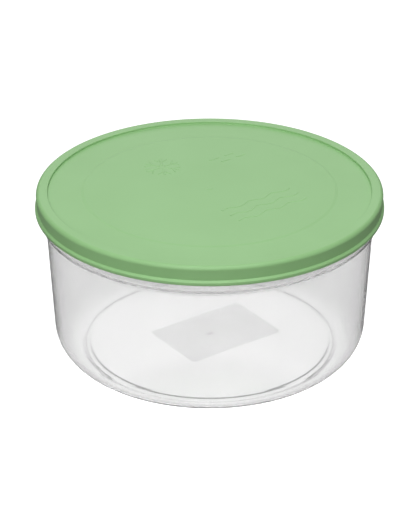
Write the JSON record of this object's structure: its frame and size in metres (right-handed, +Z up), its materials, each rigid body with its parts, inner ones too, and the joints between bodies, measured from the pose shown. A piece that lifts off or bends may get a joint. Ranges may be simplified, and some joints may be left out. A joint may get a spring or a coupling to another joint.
{
  "type": "snap lid food container",
  "caption": "Round translucent food container with a tapered wall, a collar at the mouth and a green snap lid that stacks.",
  "frame": {"origin": "centre of the foot ring's plane, on the axis of the container, where it stands", "axes": "+Z up along the axis of the container, towards the lid; the body is round, and +X and +Y are square to each other in the plane it stands on"},
  "size_m": [0.181, 0.181, 0.0904],
  "materials": {
    "natural_polypropylene": "uncoloured translucent moulded plastic, smooth outside, faintly milky",
    "green_polypropylene": "opaque pastel green moulded plastic, satin with a very fine texture",
    "label_film": "blank matt milky self-adhesive film, translucent"
  },
  "bodies": {
    "container": {"container": "natural_polypropylene", "base_label": "label_film"},
    "lid": {"lid": "green_polypropylene"}
  },
  "joints": [
    {"name": "lid_lift", "type": "slide", "parent": "container", "child": "lid", "axis": [0, 0, 1], "range_m": [0, 0.06]}
  ]
}
